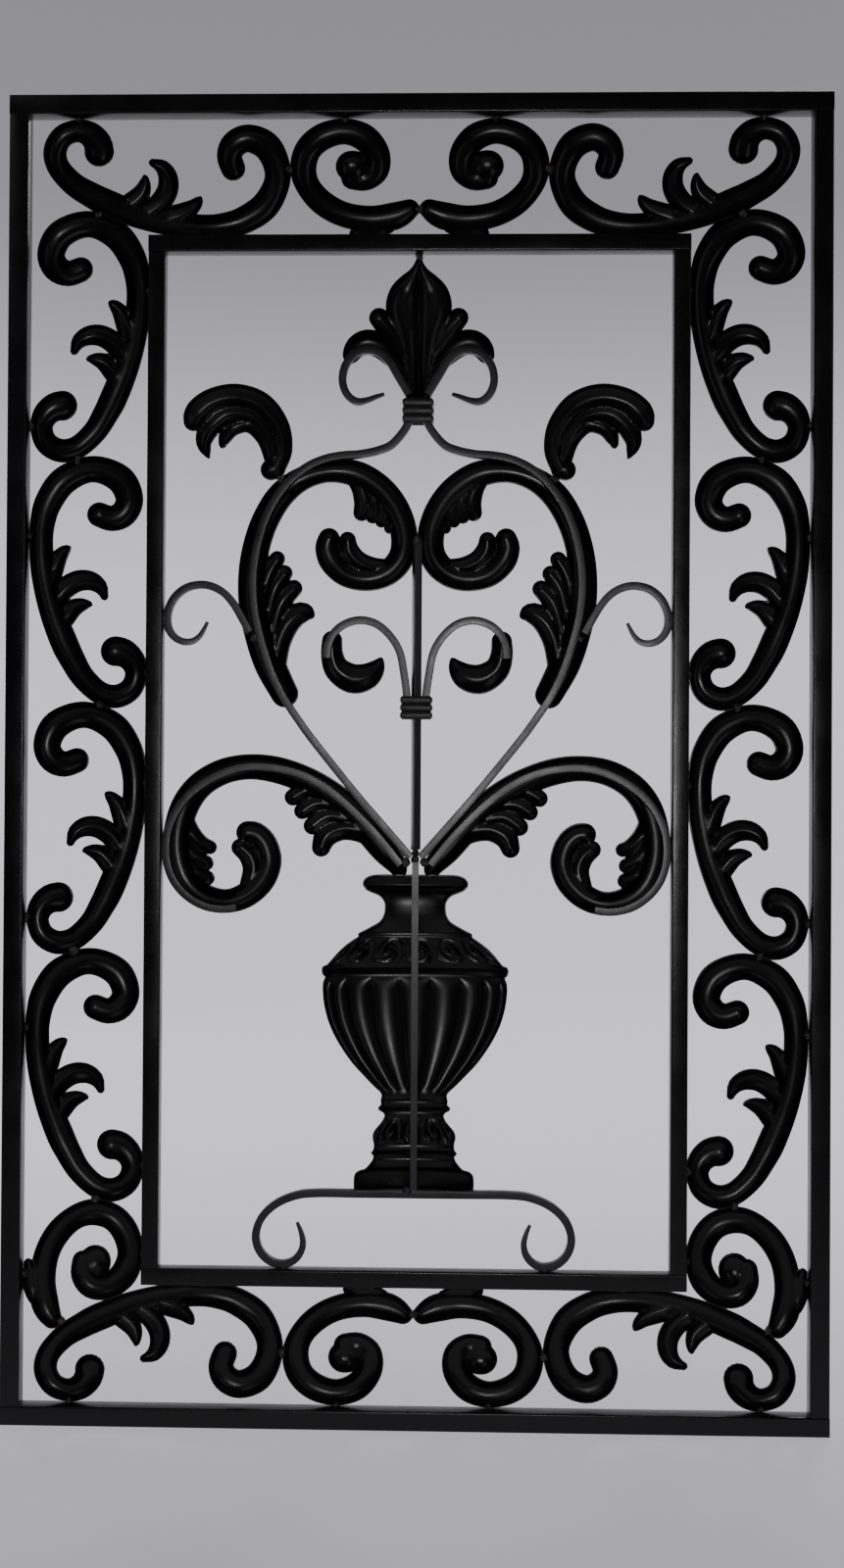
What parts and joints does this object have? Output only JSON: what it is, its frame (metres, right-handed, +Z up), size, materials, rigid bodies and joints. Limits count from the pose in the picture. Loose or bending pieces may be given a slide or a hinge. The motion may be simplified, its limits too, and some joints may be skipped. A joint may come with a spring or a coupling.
{
  "type": "window security bar",
  "caption": "Rectangular wrought-iron window guard: a double square-bar frame with pressed scrolls in the border and a heart of scrolled leaves over a vase in the middle.",
  "frame": {"origin": "middle of the underside of the bottom rail of the outer frame", "axes": "+Z up along the panel's height, +Y from the wall to the front, X along the width"},
  "size_m": [0.68, 0.0331, 1.1],
  "materials": {
    "frame_enamel": "black semi-gloss enamel on square steel bar",
    "bar_enamel": "black semi-gloss enamel on bent square steel bar",
    "stamping_enamel": "black semi-gloss enamel on pressed sheet steel",
    "collar_enamel": "black semi-gloss enamel on cast collar",
    "weld": "black enamel over weld beads, with rust showing"
  },
  "bodies": {
    "root": {"outer_frame_top": "frame_enamel", "outer_frame_bottom": "frame_enamel", "outer_frame_left": "frame_enamel", "outer_frame_right": "frame_enamel", "inner_frame_top": "frame_enamel", "inner_frame_bottom": "frame_enamel", "inner_frame_left": "frame_enamel", "inner_frame_right": "frame_enamel", "leaf_scroll_top_left": "stamping_enamel", "leaf_scroll_top_right": "stamping_enamel", "leaf_scroll_bottom_left": "stamping_enamel", "leaf_scroll_bottom_right": "stamping_enamel", "leaf_scroll_left_1": "stamping_enamel", "leaf_scroll_left_2": "stamping_enamel", "leaf_scroll_left_3": "stamping_enamel", "leaf_scroll_left_4": "stamping_enamel", "leaf_scroll_right_1": "stamping_enamel", "leaf_scroll_right_2": "stamping_enamel", "leaf_scroll_right_3": "stamping_enamel", "leaf_scroll_right_4": "stamping_enamel", "volute_top_left": "stamping_enamel", "volute_top_right": "stamping_enamel", "volute_bottom_left": "stamping_enamel", "volute_bottom_right": "stamping_enamel", "volute_side_left": "stamping_enamel", "volute_side_right": "stamping_enamel", "finial": "stamping_enamel", "finial_curl_left": "bar_enamel", "finial_curl_right": "bar_enamel", "top_collar": "collar_enamel", "heart_bar_left": "bar_enamel", "heart_bar_right": "bar_enamel", "heart_leaf_left": "stamping_enamel", "heart_leaf_right": "stamping_enamel", "feather_leaf_left": "stamping_enamel", "feather_leaf_right": "stamping_enamel", "side_curl_left": "bar_enamel", "side_curl_right": "bar_enamel", "inner_curl_left": "bar_enamel", "inner_curl_right": "bar_enamel", "crescent_leaf_left": "stamping_enamel", "crescent_leaf_right": "stamping_enamel", "mid_collar": "collar_enamel", "centre_bar": "bar_enamel", "lower_bar_left": "bar_enamel", "lower_bar_right": "bar_enamel", "lower_leaf_left": "stamping_enamel", "lower_leaf_right": "stamping_enamel", "vase_bar": "bar_enamel", "vase": "stamping_enamel", "base_bar": "bar_enamel", "weld_beads": "weld"}
  },
  "joints": []
}
